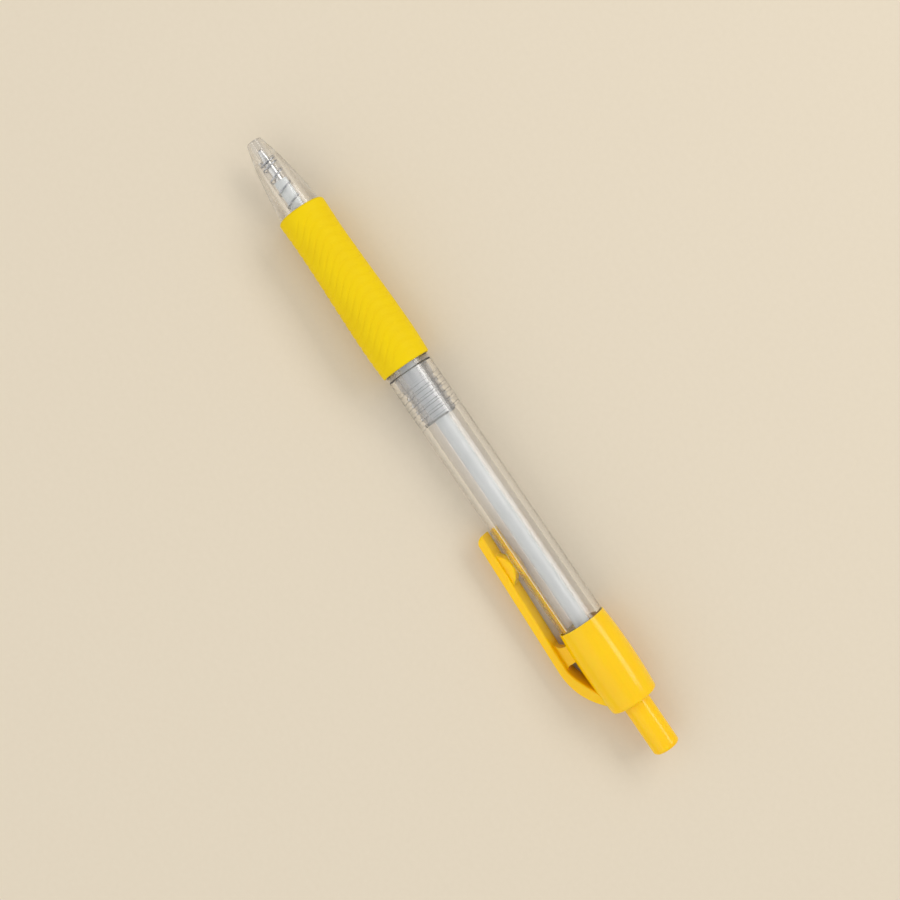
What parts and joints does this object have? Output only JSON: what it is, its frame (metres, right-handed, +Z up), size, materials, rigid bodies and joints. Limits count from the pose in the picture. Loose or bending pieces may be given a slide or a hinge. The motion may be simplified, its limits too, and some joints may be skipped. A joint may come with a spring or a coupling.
{
  "type": "retractable ballpoint pen",
  "caption": "Click ballpoint pen with a clear screw-together barrel, yellow rubber grip, moulded pocket clip, push button, return spring and refill.",
  "frame": {"origin": "on the surface that the pen lies on, under the middle of its outline", "axes": "+X along the pen from the nose to the push button, +Z up from the surface, the clip towards -Y with its lower edge on the surface"},
  "size_m": [0.145, 0.015, 0.011],
  "materials": {
    "clear_plastic": "gloss",
    "yellow_rubber": "matte",
    "yellow_plastic": "gloss",
    "natural_plastic": "satin",
    "white_plastic": "satin",
    "ink": "gloss",
    "tip_metal": "polished",
    "ball_carbide": "polished",
    "spring_steel": "polished"
  },
  "bodies": {
    "barrel": {"rear_barrel": "clear_plastic", "clip_cap": "yellow_plastic"},
    "button": {"push_button": "yellow_plastic"},
    "rotor": {"cam_rotor": "natural_plastic"},
    "refill": {"refill_tube": "white_plastic", "ink_column": "ink", "tip_holder": "white_plastic", "writing_tip": "tip_metal"},
    "ball": {"tip_ball": "ball_carbide"},
    "spring": {"return_spring": "spring_steel"},
    "front": {"front_barrel": "clear_plastic", "grip_sleeve": "yellow_rubber"}
  },
  "joints": [
    {"name": "button_press", "type": "slide", "parent": "barrel", "child": "button", "axis": [-1, 0, 0], "range_m": [0, 0.0049], "stiffness_N_per_m": 250, "springref_m": -0.004, "deforming": ["return_spring"]},
    {"name": "rotor_slide", "type": "slide", "parent": "barrel", "child": "rotor", "axis": [-1, 0, 0], "range_m": [0, 0.0049]},
    {"name": "refill_slide", "type": "slide", "parent": "barrel", "child": "refill", "axis": [-1, 0, 0], "range_m": [0, 0.0049]},
    {"name": "ball_roll", "type": "hinge", "parent": "refill", "child": "ball", "pos_m": [-0.06972, 0.00195, 0.00552], "axis": [0, 1, 0], "continuous": true},
    {"name": "front_draw", "type": "slide", "parent": "barrel", "child": "spring", "axis": [-1, 0, 0], "range_m": [0, 0.00777]},
    {"name": "front_turn", "type": "hinge", "parent": "spring", "child": "front", "pos_m": [-0.01775, 0.00195, 0.00552], "axis": [-1, 0, 0], "range_deg": [0, 1800]}
  ],
  "couplings": [
    {"joint": "rotor_slide", "follows": "button_press", "ratio": 1},
    {"joint": "refill_slide", "follows": "button_press", "ratio": 1},
    {"joint": "front_turn", "follows": "front_draw", "rad_per_m": 4040.6}
  ]
}
